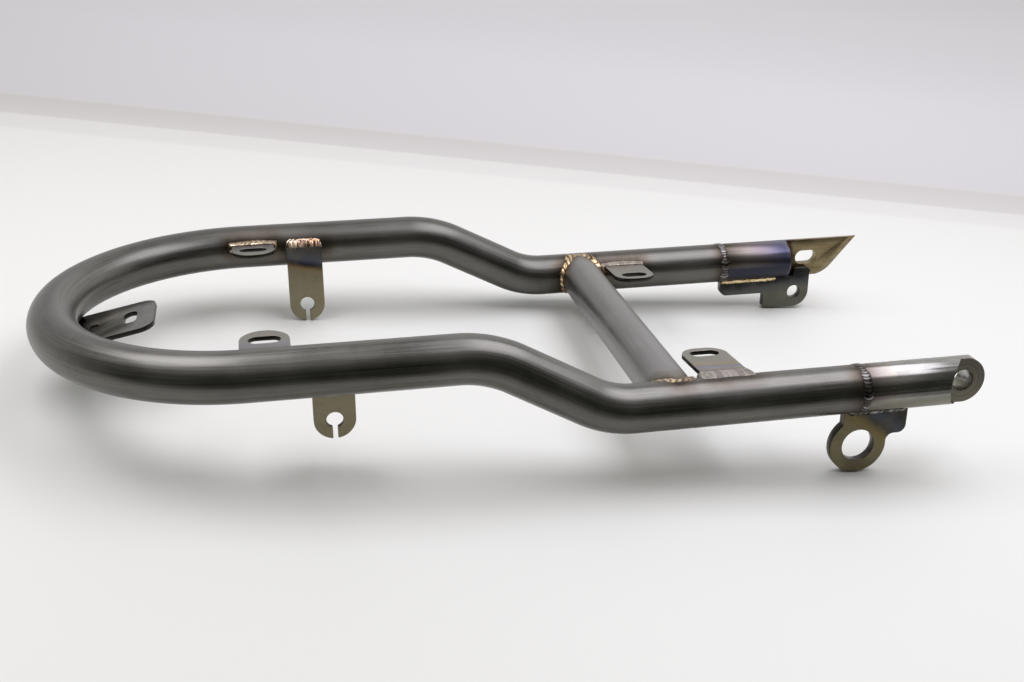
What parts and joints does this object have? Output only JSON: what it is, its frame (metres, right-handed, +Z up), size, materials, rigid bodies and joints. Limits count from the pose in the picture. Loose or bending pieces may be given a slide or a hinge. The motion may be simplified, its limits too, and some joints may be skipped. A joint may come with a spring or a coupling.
{
  "type": "motorcycle rear subframe",
  "caption": "Welded bare steel tube loop that carries a motorcycle's seat and tail, with a cross tube, machined end fittings, slotted seat tabs, keyhole tabs and a tail bracket.",
  "frame": {"origin": "middle of the bounding box in plan, level with the lowest point, the bottom of the ring plate", "axes": "+X forwards towards the end fittings, +Y to the motorcycle's left, +Z up with the rails level"},
  "size_m": [0.5205, 0.2326, 0.0936],
  "materials": {
    "bent_tube": "bare drawn steel tube, dark grey, rubbed along its length",
    "machined_bar": "bare turned and milled steel bar, blued by heat beside the weld on the left one",
    "cut_plate": "bare cut steel plate with straw and blue heat tint by the welds",
    "weld_bead": "rippled weld bead, gold and pink heat tint with dark soot at its ends"
  },
  "bodies": {
    "root": {"cross_tube": "bent_tube", "cross_tube_left_weld": "weld_bead", "cross_tube_right_weld": "weld_bead", "front_left_seat_tab": "cut_plate", "front_left_seat_weld": "weld_bead", "front_right_seat_tab": "cut_plate", "front_right_seat_weld": "weld_bead", "left_end_fitting": "machined_bar", "left_foot_plate": "cut_plate", "left_joint_weld": "weld_bead", "left_keyhole_tab": "cut_plate", "left_keyhole_weld": "weld_bead", "left_lobe_weld": "weld_bead", "left_plate_weld": "weld_bead", "main_loop": "bent_tube", "rear_left_seat_tab": "cut_plate", "rear_left_seat_weld": "weld_bead", "rear_right_seat_tab": "cut_plate", "rear_right_seat_weld": "weld_bead", "right_end_fitting": "machined_bar", "right_joint_weld": "weld_bead", "right_keyhole_tab": "cut_plate", "right_keyhole_weld": "weld_bead", "right_plate_weld": "weld_bead", "right_ring_plate": "cut_plate", "tail_bracket": "cut_plate", "tail_bracket_weld": "weld_bead"}
  },
  "joints": []
}
